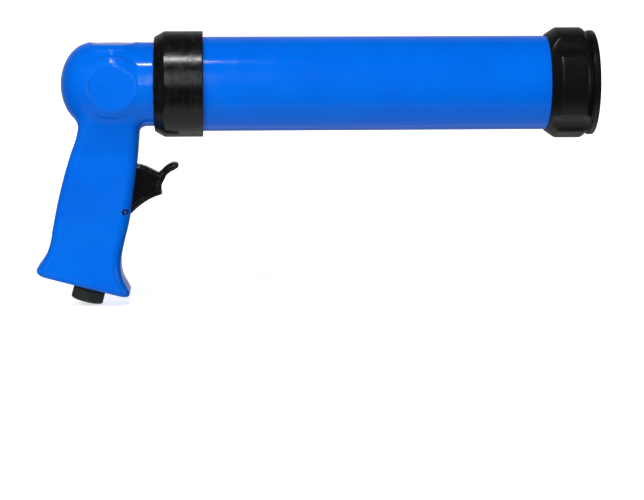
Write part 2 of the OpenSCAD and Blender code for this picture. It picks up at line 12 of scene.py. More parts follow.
import bmesh
import bpy
import numpy as np
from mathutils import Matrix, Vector


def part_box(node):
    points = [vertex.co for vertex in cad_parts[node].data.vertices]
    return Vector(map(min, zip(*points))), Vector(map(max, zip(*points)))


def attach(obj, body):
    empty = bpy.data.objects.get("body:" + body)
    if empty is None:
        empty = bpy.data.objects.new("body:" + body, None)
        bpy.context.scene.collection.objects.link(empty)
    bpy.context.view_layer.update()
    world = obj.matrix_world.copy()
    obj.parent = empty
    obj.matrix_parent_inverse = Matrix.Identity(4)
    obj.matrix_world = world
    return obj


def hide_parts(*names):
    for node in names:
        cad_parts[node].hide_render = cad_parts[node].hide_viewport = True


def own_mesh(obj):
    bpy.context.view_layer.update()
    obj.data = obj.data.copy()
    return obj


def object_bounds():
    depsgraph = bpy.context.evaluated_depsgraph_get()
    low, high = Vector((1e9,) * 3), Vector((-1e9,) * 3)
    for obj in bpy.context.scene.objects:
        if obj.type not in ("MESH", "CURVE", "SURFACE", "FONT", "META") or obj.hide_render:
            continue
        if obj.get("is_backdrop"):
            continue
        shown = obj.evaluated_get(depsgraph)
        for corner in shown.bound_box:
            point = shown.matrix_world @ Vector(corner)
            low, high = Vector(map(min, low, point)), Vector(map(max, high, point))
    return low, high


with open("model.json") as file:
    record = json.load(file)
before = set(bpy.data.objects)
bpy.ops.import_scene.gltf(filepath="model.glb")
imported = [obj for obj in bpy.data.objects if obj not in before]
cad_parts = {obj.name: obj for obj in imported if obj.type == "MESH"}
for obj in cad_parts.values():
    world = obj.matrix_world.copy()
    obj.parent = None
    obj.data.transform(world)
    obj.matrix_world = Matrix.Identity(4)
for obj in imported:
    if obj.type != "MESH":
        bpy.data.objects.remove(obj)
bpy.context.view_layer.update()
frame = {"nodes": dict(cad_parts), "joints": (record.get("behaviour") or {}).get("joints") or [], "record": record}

bl_info = {
    "name": "Air caulking gun",
    "version": (1, 0, 0),
    "blender": (4, 5, 0),
    "location": "View3D > Sidebar > Caulking gun",
    "description": "Builds the pieces, finishes and stage of an air-powered caulking gun",
    "category": "Object",
}

MM = 0.001


# ---------------------------------------------------------------- sizes from the frame


def span(name):
    """Lowest and highest corner of a CAD node, in millimetres, as numpy arrays."""
    lo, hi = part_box(name)
    return np.array(lo) / MM, np.array(hi) / MM


def reach(name, axis):
    """Nearest and furthest a CAD node reaches along an axis, in millimetres."""
    mesh = frame["nodes"][name].data
    points = np.empty(len(mesh.vertices) * 3, np.float32)
    mesh.vertices.foreach_get("co", points)
    along = points.reshape(-1, 3) @ axis / MM
    return along.min(), along.max()


def joint(name):
    """The frame's joint of that name."""
    return next(j for j in frame["joints"] if j["name"] == name)


def joint_axis(name):
    """Unit axis of a joint, as a numpy array."""
    axis = np.array(joint(name)["axis"], float)
    return axis / np.linalg.norm(axis)


def mount(name):
    """The frame's mount of that name."""
    return next(m for m in frame["record"]["mounts"] if m["name"] == name)


BARREL = span("barrel_tube")
COLLAR = span("rear_collar")
CAP = span("front_cap")
HANDLE = span("handle_body")
CUSHION = span("cushion_washer")
GASKET = span("barrel_gasket")
PIN_SPAN = span("trigger_pin")
TRIGGER_SPAN = span("trigger")
BARREL_R = BARREL[1][2]
COLLAR_X = COLLAR[0][0]
PIN = np.array(joint("trigger_pull")["pos_m"]) / MM
PIN_R = (PIN_SPAN[1][0] - PIN_SPAN[0][0]) / 2
STEM = -joint_axis("stem_push")
LEAN = math.atan2(-STEM[2], STEM[0])
INLET_OUT = np.array(mount("air_inlet")["axis"], float)
INLET_MOUTH = np.array(mount("air_inlet")["pos_m"]) / MM
TILT = math.atan2(-INLET_OUT[0], -INLET_OUT[2])
SOCKET_R = mount("air_inlet")["dims"]["r_mm"]
NOZZLE_R = mount("nozzle_opening")["dims"]["r_mm"]


# ---------------------------------------------------------------- settings


class GunSizes(bpy.types.PropertyGroup):
    """Sizes of the visible detail that the frame leaves to the looks."""

    edge_round: bpy.props.FloatProperty(
        name="Turned edges", description="Rounding of the collar's and the barrel's edges",
        default=0.5 * MM, unit="LENGTH")
    cap_round: bpy.props.FloatProperty(
        name="Cap edges", description="Rounding of the moulded cap's edges",
        default=0.9 * MM, unit="LENGTH")
    lobe_height: bpy.props.FloatProperty(
        name="Lobe height", description="Height of the cap's finger lobes above the barrel",
        default=(CAP[1][2] - BARREL_R) * MM, unit="LENGTH")
    neck_fillet: bpy.props.FloatProperty(
        name="Neck fillet", description="Blend between the head and the grip",
        default=4.5 * MM, unit="LENGTH")
    cast_grid: bpy.props.FloatProperty(
        name="Casting grid", description="Spacing of the grid that the casting is meshed on",
        default=0.75 * MM, unit="LENGTH")
    trigger_grid: bpy.props.FloatProperty(
        name="Trigger grid", description="Spacing of the grid that the trigger is meshed on",
        default=0.42 * MM, unit="LENGTH")


class GunColours(bpy.types.PropertyGroup):
    """Colours of the finishes, as linear RGB."""

    enamel: bpy.props.FloatVectorProperty(
        name="Enamel", description="Blue of the head, grip and barrel", subtype="COLOR",
        size=3, min=0, max=1, default=(0.0, 0.143, 0.76))
    enamel_deep: bpy.props.FloatVectorProperty(
        name="Enamel, deep", description="Darker blue of the enamel's thicker places",
        subtype="COLOR", size=3, min=0, max=1, default=(0.0, 0.122, 0.70))
    black: bpy.props.FloatVectorProperty(
        name="Black", description="Black of the cap and the collar", subtype="COLOR",
        size=3, min=0, max=1, default=(0.0030, 0.0031, 0.0034))
    black_worn: bpy.props.FloatVectorProperty(
        name="Black, rubbed", description="Rubbed black at edges and marks",
        subtype="COLOR", size=3, min=0, max=1, default=(0.012, 0.012, 0.013))
    floor: bpy.props.FloatVectorProperty(
        name="Floor", description="The pale floor", subtype="COLOR", size=3, min=0, max=1,
        default=(0.9, 0.9, 0.9))


# ---------------------------------------------------------------- mesh helpers


def make_object(name, points_mm, faces):
    """A mesh object from points in millimetres and a face array, its faces outwards."""
    mesh = bpy.data.meshes.new(name)
    mesh.from_pydata((np.asarray(points_mm) * MM).tolist(), [], np.asarray(faces).tolist())
    tidy = bmesh.new()
    tidy.from_mesh(mesh)
    bmesh.ops.remove_doubles(tidy, verts=tidy.verts, dist=1e-7)
    bmesh.ops.dissolve_degenerate(tidy, edges=tidy.edges, dist=1e-8)
    if tidy.calc_volume(signed=True) < 0:
        bmesh.ops.reverse_faces(tidy, faces=tidy.faces)
    tidy.to_mesh(mesh)
    tidy.free()
    mesh.shade_smooth()
    mesh.validate()
    piece = bpy.data.objects.new(name, mesh)
    bpy.context.scene.collection.objects.link(piece)
    return piece


def grid_faces(rows, columns, closed_rows, closed_columns):
    """Quads of a rows by columns grid of points, wrapped round where it is closed."""
    i = np.arange(rows if closed_rows else rows - 1)
    j = np.arange(columns if closed_columns else columns - 1)
    a, b = np.meshgrid(i, j, indexing="ij")
    a2, b2 = (a + 1) % rows, (b + 1) % columns
    quads = [a * columns + b, a * columns + b2, a2 * columns + b2, a2 * columns + b]
    return np.stack(quads, -1).reshape(-1, 4)


def rounded_path(corners, radius, closed=True, steps=5, support=0.35):
    """An outline with its corners rounded.

    Each corner becomes a short curve: with s from 0 to 1, the point is the quadratic mean
    (1-s)^2 a + 2s(1-s) corner + s^2 b, where a and b lie radius away along its two sides.
    One more point just outside a and b keeps the flats flat when the surface is shaded.
    """
    p = np.asarray(corners, float)
    before, after = np.roll(p, 1, 0) - p, np.roll(p, -1, 0) - p
    len_b = np.linalg.norm(before, axis=1, keepdims=True)
    len_a = np.linalg.norm(after, axis=1, keepdims=True)
    r = np.broadcast_to(np.asarray(radius, float).reshape(-1, 1), (len(p), 1))
    cut = np.minimum(r, 0.4 * np.minimum(len_b, len_a))
    a, b = p + before / len_b * cut, p + after / len_a * cut
    extra = np.minimum(support, 0.1 * np.minimum(len_b, len_a))
    s = np.linspace(0, 1, steps + 1).reshape(1, -1, 1)
    arc = (1 - s) ** 2 * a[:, None] + 2 * s * (1 - s) * p[:, None] + s**2 * b[:, None]
    outer = (a + before / len_b * extra)[:, None]
    inner = (b + after / len_a * extra)[:, None]
    path = np.concatenate([outer, arc, inner], 1)
    if closed:
        return path.reshape(-1, 2)
    return np.concatenate([p[:1], path[1:-1].reshape(-1, 2), p[-1:]])


def lathe(name, path, closed=True, segments=192, shape=None, place=None):
    """A turned piece: a profile of [along, radius] points carried round an axis.

    A point is (along, r cos t, r sin t), where r is the profile's radius, or what
    shape(along, r, t) makes of it. place turns and moves the finished points.
    """
    t = np.linspace(0, 2 * math.pi, segments, endpoint=False)[None, :]
    along, r = path[:, :1] + 0 * t, path[:, 1:] + 0 * t
    if shape is not None:
        r = shape(along, r, t)
    points = np.stack([along, r * np.cos(t), r * np.sin(t)], -1).reshape(-1, 3)
    if place is not None:
        points = place(points)
    return make_object(name, points, grid_faces(len(path), segments, closed, True))


def soft_min(a, b, k):
    """The smaller of two values, blended over a band k wide round where they are equal."""
    h = np.clip(0.5 + 0.5 * (b - a) / k, 0, 1)
    return b + (a - b) * h - k * h * (1 - h)


def soft_max(a, b, k):
    """The larger of two values, blended over a band k wide."""
    return -soft_min(-a, -b, k)


def smooth_curve(knots):
    """A function of depth through the knots, [depth, value] each: a cubic between
    neighbours, with a knot's slope taken from the knots on its two sides."""
    x, y = np.array(knots, float).T
    slope = np.gradient(y, x)

    def value(q):
        q = np.clip(q, x[0], x[-1])
        i = np.clip(np.searchsorted(x, q) - 1, 0, len(x) - 2)
        h = x[i + 1] - x[i]
        s = (q - x[i]) / h
        return (y[i] * (2 * s**3 - 3 * s**2 + 1) + slope[i] * h * (s**3 - 2 * s**2 + s)
                + y[i + 1] * (3 * s**2 - 2 * s**3) + slope[i + 1] * h * (s**3 - s**2))

    return value


def field_mesh(name, field, lo, hi, step):
    """The zero surface of field(points), meshed by surface nets on a grid.

    Each cell that the surface crosses gets one point, the mean of where the surface cuts
    the cell's edges; each grid edge that it cuts gets one quad between four such points.
    The points are then moved onto the surface along the field's slope, and the slope gives
    the normals. The field's own curvature is kept as the attribute "edge".
    """
    axes = [np.arange(lo[i] - 2 * step, hi[i] + 2 * step, step) for i in range(3)]
    shape = tuple(len(a) for a in axes)
    values = np.stack([
        field(np.stack(np.meshgrid([x], axes[1], axes[2], indexing="ij"), -1)[0])
        for x in axes[0]])
    origin = np.array([a[0] for a in axes])
    cells = tuple(n - 1 for n in shape)
    total, count = np.zeros(cells + (3,)), np.zeros(cells)
    index = np.indices(cells).transpose(1, 2, 3, 0).astype(float)
    crossings = []
    for axis in range(3):
        low = values.take(range(shape[axis] - 1), axis)
        high = values.take(range(1, shape[axis]), axis)
        cut = (low < 0) != (high < 0)
        part = np.where(cut, low / np.where(cut, low - high, 1), 0)
        crossings.append((cut, low < 0))
        others = [i for i in range(3) if i != axis]
        for du in (0, 1):
            for dv in (0, 1):
                window = [slice(0, cells[i]) for i in range(3)]
                window[others[0]] = slice(du, du + cells[others[0]])
                window[others[1]] = slice(dv, dv + cells[others[1]])
                window = tuple(window)
                here = cut[window]
                offset = np.zeros(3)
                offset[others[0]], offset[others[1]] = du, dv
                place = index + offset
                place[..., axis] += part[window]
                total += place * here[..., None]
                count += here
    live = count > 0
    number = np.full(cells, -1)
    number[live] = np.arange(live.sum())
    points = origin + step * total[live] / count[live][:, None]
    quads = []
    for axis in range(3):
        cut, inside = crossings[axis]
        u, v = [i for i in range(3) if i != axis]
        at = np.argwhere(cut)
        keep = (at[:, u] > 0) & (at[:, v] > 0) & (at[:, u] < cells[u]) & (at[:, v] < cells[v])
        at = at[keep]
        unit = np.eye(3, dtype=int)
        ring = [at, at - unit[u], at - unit[u] - unit[v], at - unit[v]]
        quad = np.stack([number[tuple(c.T)] for c in ring], -1)
        flip = inside[tuple(at.T)] ^ (axis == 1)
        quads.append(np.where(flip[:, None], quad, quad[:, ::-1]))
    faces = np.concatenate(quads)
    nudge = 0.02
    nudges = np.eye(3) * nudge
    for _ in range(5):
        slope = np.stack(
            [(field(points + n) - field(points - n)) / (2 * nudge) for n in nudges], -1)
        size = np.maximum((slope**2).sum(-1, keepdims=True), 0.05)
        move = -field(points)[:, None] * slope / size
        points = points + np.clip(move, -0.4 * step, 0.4 * step)
    wide = 0.5
    bend = sum(field(points + n) + field(points - n) for n in np.eye(3) * wide)
    bend = (bend - 6 * field(points)) / wide**2
    normals = np.stack(
        [(field(points + n * 5) - field(points - n * 5)) for n in nudges], -1)
    normals /= np.maximum(np.linalg.norm(normals, axis=-1, keepdims=True), 1e-9)
    mesh = bpy.data.meshes.new(name)
    mesh.from_pydata((points * MM).tolist(), [], faces.tolist())
    mesh.shade_smooth()
    edge = mesh.attributes.new("edge", "FLOAT", "POINT")
    edge.data.foreach_set("value", np.clip(bend * 0.5, 0, 1).astype(np.float32))
    mesh.normals_split_custom_set_from_vertices(normals.tolist())
    piece = bpy.data.objects.new(name, mesh)
    bpy.context.scene.collection.objects.link(piece)
    return piece


def finish_piece(piece, body, slot, stands_for):
    """Rides the piece on its body, gives it the finish of the named slot, and hides the CAD node that it stands
    for."""
    piece.data.materials.clear()
    piece.data.materials.append(FINISH[slot])
    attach(piece, body)
    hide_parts(stands_for)


# ---------------------------------------------------------------- shader node groups


def new_group(name, inputs, outputs):
    """An empty shader node group with its sockets, and its input and output nodes."""
    group = bpy.data.node_groups.new(name, "ShaderNodeTree")
    for label, kind, default in inputs:
        sock = group.interface.new_socket(label, in_out="INPUT", socket_type=kind)
        if default is not None:
            sock.default_value = default
    for label, kind in outputs:
        group.interface.new_socket(label, in_out="OUTPUT", socket_type=kind)
    return group, group.nodes.new("NodeGroupInput"), group.nodes.new("NodeGroupOutput")


def node(tree, kind, links=(), **values):
    """A node with its properties set and its inputs filled: each link is (socket, value)."""
    made = tree.nodes.new(kind)
    for key, value in values.items():
        setattr(made, key, value)
    for socket, value in links:
        if isinstance(value, bpy.types.NodeSocket):
            tree.links.new(value, made.inputs[socket])
        else:
            made.inputs[socket].default_value = value
    return made


def noise(tree, vector, scale, detail=3.0, rough=0.5):
    """Fractal noise, about 0 to 1."""
    return node(tree, "ShaderNodeTexNoise",
                [("Vector", vector), ("Scale", scale), ("Detail", detail),
                 ("Roughness", rough)]).outputs["Fac"]


def math_node(tree, operation, a, b=0.0, clamp=False):
    """One arithmetic step."""
    return node(tree, "ShaderNodeMath", [(0, a), (1, b)], operation=operation,
                use_clamp=clamp).outputs[0]


def remap(tree, value, low, high, to_low, to_high):
    """value from low..high to to_low..to_high, held at the ends."""
    return node(tree, "ShaderNodeMapRange",
                [("Value", value), ("From Min", low), ("From Max", high),
                 ("To Min", to_low), ("To Max", to_high)]).outputs[0]


def mix_colour(tree, factor, a, b):
    """Colour a where factor is 0 and b where it is 1."""
    made = tree.nodes.new("ShaderNodeMix")
    made.data_type = "RGBA"
    for socket, value in ((0, factor), (6, a), (7, b)):
        if isinstance(value, bpy.types.NodeSocket):
            tree.links.new(value, made.inputs[socket])
        else:
            made.inputs[socket].default_value = value
    return made.outputs[2]


def group_mottle():
    """Slow and fine variation of a coat: a colour mask, a roughness mask and a height."""
    group, gin, gout = new_group(
        "coat_mottle",
        [("Vector", "NodeSocketVector", None), ("Cloud scale", "NodeSocketFloat", 40.0),
         ("Grain scale", "NodeSocketFloat", 900.0)],
        [("Cloud", "NodeSocketFloat"), ("Smear", "NodeSocketFloat"),
         ("Height", "NodeSocketFloat")])
    cloud = noise(group, gin.outputs[0], gin.outputs[1], 4)
    smear = noise(group, gin.outputs[0], math_node(group, "MULTIPLY", gin.outputs[1], 4.3), 6)
    grain = noise(group, gin.outputs[0], gin.outputs[2], 2)
    for socket, value in (("Cloud", remap(group, cloud, 0.3, 0.7, 0, 1)),
                          ("Smear", remap(group, smear, 0.35, 0.75, 0, 1)),
                          ("Height", grain)):
        group.links.new(value, gout.inputs[socket])
    return group


def group_turning():
    """Fine rings left by a lathe round the barrel's axis: a height and a mask of rings."""
    group, gin, gout = new_group(
        "turning_marks",
        [("Vector", "NodeSocketVector", None), ("Pitch scale", "NodeSocketFloat", 1500.0)],
        [("Height", "NodeSocketFloat"), ("Rings", "NodeSocketFloat")])
    split = node(group, "ShaderNodeSeparateXYZ", [(0, gin.outputs[0])])
    across = node(group, "ShaderNodeCombineXYZ",
                  [(1, split.outputs[1]), (2, split.outputs[2])])
    radius = node(group, "ShaderNodeVectorMath", [(0, across.outputs[0])],
                  operation="LENGTH").outputs["Value"]
    ring = node(group, "ShaderNodeCombineXYZ",
                [(0, math_node(group, "ADD", split.outputs[0], radius)),
                 (1, math_node(group, "MULTIPLY", split.outputs[1], 0.02)),
                 (2, math_node(group, "MULTIPLY", split.outputs[2], 0.02))])
    fine = noise(group, ring.outputs[0], gin.outputs[1], 3, 0.7)
    coarse = noise(group, ring.outputs[0],
                   math_node(group, "MULTIPLY", gin.outputs[1], 0.22), 2, 0.6)
    group.links.new(math_node(group, "ADD", fine, coarse), gout.inputs["Height"])
    group.links.new(remap(group, coarse, 0.35, 0.65, 0, 1), gout.inputs["Rings"])
    return group


def group_rub_and_glint():
    """Rubbed edges, a painted edge highlight on the trigger, and small scuffs: a mask from the edge value, broken
    up by noise.
    """
    group, gin, gout = new_group(
        "rubbed_edges",
        [("Vector", "NodeSocketVector", None), ("Edge", "NodeSocketFloat", 0.0),
         ("Amount", "NodeSocketFloat", 0.5)],
        [("Mask", "NodeSocketFloat"), ("Scuffs", "NodeSocketFloat")])
    broken = noise(group, gin.outputs[0], 260.0, 5, 0.65)
    worn = math_node(group, "MULTIPLY", gin.outputs[1],
                     remap(group, broken, 0.42, 0.62, 0, 1))
    group.links.new(math_node(group, "MULTIPLY", worn, gin.outputs[2], True),
                    gout.inputs["Mask"])
    scuffs = node(group, "ShaderNodeTexNoise",
                  [("Vector", gin.outputs[0]), ("Scale", 120.0), ("Detail", 8.0),
                   ("Distortion", 1.6)]).outputs["Fac"]
    group.links.new(remap(group, scuffs, 0.66, 0.72, 0, 1), gout.inputs["Scuffs"])
    return group


GROUPS = {}


def shared_group(name):
    """A shared node group, built the first time that it is asked for."""
    makers = {"mottle": group_mottle, "turning": group_turning, "rub": group_rub_and_glint}
    if name not in GROUPS:
        GROUPS[name] = makers[name]()
    return GROUPS[name]


# ---------------------------------------------------------------- materials


def new_material(name, **constants):
    """A material with a Principled shader, its constant sockets set directly."""
    mat = bpy.data.materials.new(name)
    mat.use_nodes = True
    tree = mat.node_tree
    shader = tree.nodes["Principled BSDF"]
    for key, value in constants.items():
        shader.inputs[key.replace("_", " ")].default_value = value
    coords = tree.nodes.new("ShaderNodeTexCoord").outputs["Object"]
    return mat, tree, shader, coords


def use(tree, name, links):
    """A shared group placed in a material with its own values."""
    made = tree.nodes.new("ShaderNodeGroup")
    made.node_tree = shared_group(name)
    for socket, value in links:
        if isinstance(value, bpy.types.NodeSocket):
            tree.links.new(value, made.inputs[socket])
        else:
            made.inputs[socket].default_value = value
    return made.outputs


def bump(tree, shader, height, strength, distance):
    """Feeds a height through a Bump node into the shader's normal."""
    made = node(tree, "ShaderNodeBump",
                [("Height", height), ("Strength", strength), ("Distance", distance)])
    tree.links.new(made.outputs[0], shader.inputs["Normal"])


def rgba(colour):
    """Four numbers from three."""
    return (*colour, 1.0)


def enamel(name, with_edges):
    """Glossy blue enamel: faint clouding, orange peel and dust-fine roughness. With edges,
    the sharp ones are thin and a little paler."""
    tint = bpy.context.scene.gun_colours
    mat, tree, shader, at = new_material(name, Specular_IOR_Level=0.12)
    mottle = use(tree, "mottle", [(0, at), (1, 28.0), (2, 420.0)])
    colour = mix_colour(tree, mottle["Cloud"], rgba(tint.enamel), rgba(tint.enamel_deep))
    if with_edges:
        edge = node(tree, "ShaderNodeAttribute", attribute_name="edge").outputs["Fac"]
        rub = use(tree, "rub", [(0, at), (1, edge), (2, 0.35)])
        colour = mix_colour(tree, rub["Mask"], colour, (0.10, 0.28, 0.80, 1))
    tree.links.new(colour, shader.inputs["Base Color"])
    tree.links.new(remap(tree, mottle["Smear"], 0, 1, 0.08, 0.15), shader.inputs["Roughness"])
    bump(tree, shader, mottle["Height"], 0.05, 0.0002)
    return mat


def turned_black():
    """Black anodised collar: lathe rings in height, roughness and a trace of colour."""
    tint = bpy.context.scene.gun_colours
    mat, tree, shader, at = new_material(
        "black_turned_collar", Specular_IOR_Level=0.3)
    marks = use(tree, "turning", [(0, at), (1, 2600.0)])
    mottle = use(tree, "mottle", [(0, at), (1, 60.0), (2, 1500.0)])
    speck = math_node(tree, "MULTIPLY", marks["Rings"], mottle["Smear"])
    colour = mix_colour(tree, speck, rgba(tint.black), rgba(tint.black_worn))
    tree.links.new(colour, shader.inputs["Base Color"])
    tree.links.new(remap(tree, mottle["Smear"], 0, 1, 0.20, 0.32), shader.inputs["Roughness"])
    bump(tree, shader, marks["Height"], 0.06, 0.00006)
    return mat


def moulded_black(name, gloss, rough_low, rough_high, grain, strength, with_edges=False):
    """Moulded black plastic: fine pebble grain, clouded gloss and a few pale scuffs. With edges, the sharp ones
    get a painted highlight: a paler black that stands in for glints."""
    tint = bpy.context.scene.gun_colours
    mat, tree, shader, at = new_material(name, Specular_IOR_Level=gloss)
    mottle = use(tree, "mottle", [(0, at), (1, 55.0), (2, grain)])
    edge, amount = 0.0, 0.0
    if with_edges:
        edge = node(tree, "ShaderNodeAttribute", attribute_name="edge").outputs["Fac"]
        amount = 0.8
    rub = use(tree, "rub", [(0, at), (1, edge), (2, amount)])
    scuff = math_node(tree, "MULTIPLY", rub["Scuffs"], 0.35)
    colour = mix_colour(tree, scuff, rgba(tint.black), rgba(tint.black_worn))
    # Painted highlight: with edges, the edge mask turns the sharp edges a paler black in place of glints.
    colour = mix_colour(tree, rub["Mask"], colour, (0.05, 0.05, 0.054, 1))
    tree.links.new(colour, shader.inputs["Base Color"])
    tree.links.new(remap(tree, mottle["Smear"], 0, 1, rough_low, rough_high),
                   shader.inputs["Roughness"])
    bump(tree, shader, mottle["Height"], strength, 0.0002)
    return mat


def metal(name, colour, dark, rough_low, rough_high, scale=1400.0):
    """Bare metal with fine tool marks, clouded colour and uneven polish."""
    mat, tree, shader, at = new_material(name, Metallic=1.0)
    marks = use(tree, "turning", [(0, at), (1, scale)])
    mottle = use(tree, "mottle", [(0, at), (1, 180.0), (2, 3000.0)])
    tree.links.new(mix_colour(tree, mottle["Cloud"], rgba(colour), rgba(dark)),
                   shader.inputs["Base Color"])
    tree.links.new(remap(tree, marks["Rings"], 0, 1, rough_low, rough_high),
                   shader.inputs["Roughness"])
    bump(tree, shader, marks["Height"], 0.12, 0.00008)
    return mat


def pin_steel():
    """The pivot pin's end: black oxide at its rim, and a blue centre in its hollow end."""
    mat, tree, shader, at = new_material("blackened_steel", Specular_IOR_Level=0.4)
    across = node(tree, "ShaderNodeVectorMath",
                  [(0, at), (1, (-PIN[0] * MM, 0, -PIN[2] * MM))], operation="ADD")
    flat = node(tree, "ShaderNodeVectorMath", [(0, across.outputs[0]), (1, (1, 0, 1))],
                operation="MULTIPLY")
    radius = node(tree, "ShaderNodeVectorMath", [(0, flat.outputs[0])],
                  operation="LENGTH").outputs["Value"]
    mottle = use(tree, "mottle", [(0, at), (1, 900.0), (2, 3000.0)])
    ragged = math_node(tree, "MULTIPLY", mottle["Cloud"], 0.0004)
    # A blue centre fading to the dark rim, by distance from the pin's axis.
    blue_centre = remap(tree, math_node(tree, "ADD", radius, ragged), 0.0009, 0.0013, 1, 0)
    tree.links.new(mix_colour(tree, blue_centre, (0.004, 0.010, 0.045, 1), (0.0, 0.09, 0.42, 1)),
                   shader.inputs["Base Color"])
    tree.links.new(remap(tree, mottle["Smear"], 0, 1, 0.25, 0.4), shader.inputs["Roughness"])
    bump(tree, shader, mottle["Height"], 0.1, 0.0001)
    return mat


def soft_material(name, colour, dark, rough_low, rough_high, grain, strength):
    """Rubber, felt or nylon: clouded colour over a fine grain."""
    mat, tree, shader, at = new_material(name, Specular_IOR_Level=0.4)
    mottle = use(tree, "mottle", [(0, at), (1, 120.0), (2, grain)])
    tree.links.new(mix_colour(tree, mottle["Cloud"], rgba(colour), rgba(dark)),
                   shader.inputs["Base Color"])
    tree.links.new(remap(tree, mottle["Smear"], 0, 1, rough_low, rough_high),
                   shader.inputs["Roughness"])
    bump(tree, shader, mottle["Height"], strength, 0.0003)
    return mat


def finishes():
    """Every finish of the gun, by the name of its slot in the record."""
    return {
        "blue_enamel": enamel("blue_enamel", True),
        "blue_barrel_enamel": enamel("blue_barrel_enamel", False),
        "black_turned_collar": turned_black(),
        "black_moulded_cap": moulded_black("black_moulded_cap", 0.28, 0.30, 0.42, 1400.0,
                                           0.12),
        "black_trigger": moulded_black("black_trigger", 0.5, 0.13, 0.22, 700.0, 0.03,
                                       True),
        "blackened_steel": pin_steel(),
        "dark_inlet_steel": soft_material("dark_inlet_steel", (0.030, 0.037, 0.036),
                                          (0.018, 0.022, 0.022), 0.28, 0.42, 1800.0, 0.15),
        "zinc_steel": metal("zinc_steel", (0.62, 0.64, 0.66), (0.45, 0.47, 0.5), 0.2, 0.35),
        "spring_steel": metal("spring_steel", (0.42, 0.43, 0.45), (0.3, 0.3, 0.32), 0.2, 0.32),
        "polished_steel": metal("polished_steel", (0.72, 0.73, 0.75), (0.6, 0.61, 0.63),
                                0.08, 0.18),
        "brass": metal("brass", (0.80, 0.58, 0.24), (0.62, 0.42, 0.16), 0.18, 0.32),
        "stainless_screen": metal("stainless_screen", (0.6, 0.6, 0.6), (0.4, 0.4, 0.4),
                                  0.3, 0.5),
        "black_rubber": soft_material("black_rubber", (0.018, 0.018, 0.018),
                                      (0.03, 0.03, 0.03), 0.5, 0.75, 2200.0, 0.25),
        "white_nylon": soft_material("white_nylon", (0.78, 0.77, 0.72),
                                     (0.68, 0.66, 0.6), 0.35, 0.5, 900.0, 0.08),
        "felt": soft_material("felt", (0.72, 0.69, 0.6), (0.55, 0.52, 0.44), 0.85, 1.0,
                              3200.0, 0.9),
    }


FINISH = {}


# ---------------------------------------------------------------- places in tilted frames


def tilted(angle, origin):
    """A function that takes points of a tilted frame, X forward and Z up, to the part."""
    c, s = math.cos(angle), math.sin(angle)
    turn = np.array([[c, 0, s], [0, 1, 0], [-s, 0, c]])

    def place(points):
        return points @ turn.T + origin

    return place


def into_frame(points, angle, origin):
    """Points of the part, given in a tilted frame: the opposite of tilted."""
    c, s = math.cos(angle), math.sin(angle)
    p = points - origin
    return np.stack([p[..., 0] * c - p[..., 2] * s, p[..., 1],
                     p[..., 0] * s + p[..., 2] * c], -1)


def stand_at_inlet(points):
    """A turned profile runs along X; here it stands up along the inlet's own Z."""
    return tilted(TILT, INLET_MOUTH)(np.stack([points[:, 1], points[:, 2], points[:, 0]], -1))


# ---------------------------------------------------------------- the casting

# The lengths below are in millimetres, as in the CAD part. Places along the head are
# measured forwards from the collar's rear face, and depths down from the barrel's axis.
HEAD_R_FULL = 24.85
DOME_LENGTH = 18.7
HEAD_STRAIGHT = 36.6
PAD_BACK = 24.3
PAD_FACE_R = 13.2
PAD_FOOT_R = 17.4
PAD_FALL = 1.5
PAD_STEEP = 0.555
PAD_HEIGHT = 24.3
SPIGOT_R = 23.0
CHAMBER_R = 17.0
CHAMBER_DEPTH = 41.0
GRIP_CORNER_R = 6.5

# The slot and the valve are measured from the trigger's pin, along the leaning stem.
SLOT = {"back": -7.5, "below": -7.4, "above": 35.4, "half": 5.9}
STEM_LEVER = 17.0
SEAT_X = -19.15
VALVE_BORE_R = 6.02
CHAMBER_OF_SPRING_R = 5.5
SPRING_END = SEAT_X - 12.2
PIN_HOLE_GAP = 0.12
PIN_BORE_GAP = 0.05

# The inlet's heights are measured up its own axis from its mouth, and the depths of its
# holes from the grip's foot.
INLET_BORE_R = 8.4
INLET_DEPTH = 13.0
SCREEN_R = 6.6
SCREEN_DEPTH = 24.5
FOOT_WASHER = 8.6
HEX_HEIGHT = 7.0
SEAL_THICKNESS = 1.6
THREAD_R = 8.33

BARREL_WALL = 2.0
SLIP = 0.08

# Each of the grip's curves is a run of [depth, place], and for its width [depth, half].
GRIP_BACK = smooth_curve([
    [8, -41.5], [20, -44.2], [27, -45.3], [32, -46.6], [39, -49.2], [63, -56.2],
    [85, -60.9], [95, -62.8], [101, -65.2], [106, -68.4], [109.6, -70.9], [114, -71.3]])
GRIP_FRONT = smooth_curve([
    [8, -4.0], [20, -8.0], [27, -8.9], [34, -9.4], [47, -10.6], [63, -12.8], [75, -14.5],
    [84, -16.2], [96, -19.2], [104, -20.7], [110, -20.7], [116, -19.4], [121, -16.8],
    [124, -15.4], [130, -15.2]])
GRIP_HALF = smooth_curve([
    [8, 18.5], [16, 18.3], [22, 17.4], [27, 16.0], [31, 14.7], [36, 13.2], [40.5, 12.2],
    [44, 12.1], [60, 12.4], [85, 12.6], [98, 12.9], [106, 13.6], [112, 14.4],
    [118, 15.2], [124, 15.5], [130, 15.5]])


def rounded_box(x, y, half_x, half_y, r):
    """Distance from a rectangle with round corners: outside, the length of what sticks out
    past the corner centres, less the corner radius."""
    qx, qy = np.abs(x) - half_x + r, np.abs(y) - half_y + r
    outside = np.sqrt(np.maximum(qx, 0) ** 2 + np.maximum(qy, 0) ** 2)
    return outside + np.minimum(np.maximum(qx, qy), 0) - r


